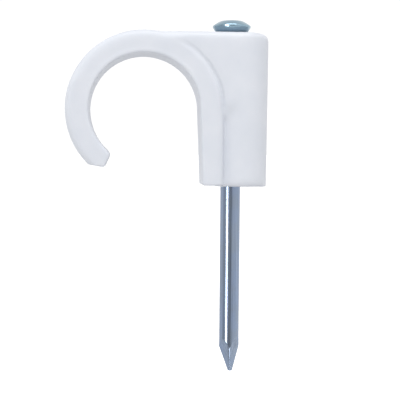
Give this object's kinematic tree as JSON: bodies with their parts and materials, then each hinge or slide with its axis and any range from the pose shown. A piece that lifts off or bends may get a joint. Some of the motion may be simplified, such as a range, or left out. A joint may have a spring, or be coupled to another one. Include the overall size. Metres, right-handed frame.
{
  "type": "nail-in cable clip",
  "caption": "Moulded plastic hook that holds a round cable against a wall, fixed by a steel nail pressed through its boss.",
  "frame": {"origin": "on the nail's axis, at the foot of the boss, in the plane of the wall", "axes": "+Z out of the wall along the nail towards its head, +X from the hook towards the boss, Y along the cable"},
  "size_m": [0.02, 0.0054, 0.035],
  "materials": {
    "clip_plastic": "satin moulded polypropylene, white",
    "nail_steel": "bright zinc plate on drawn wire"
  },
  "bodies": {
    "root": {"clip_body": "clip_plastic", "nail": "nail_steel"}
  },
  "joints": []
}
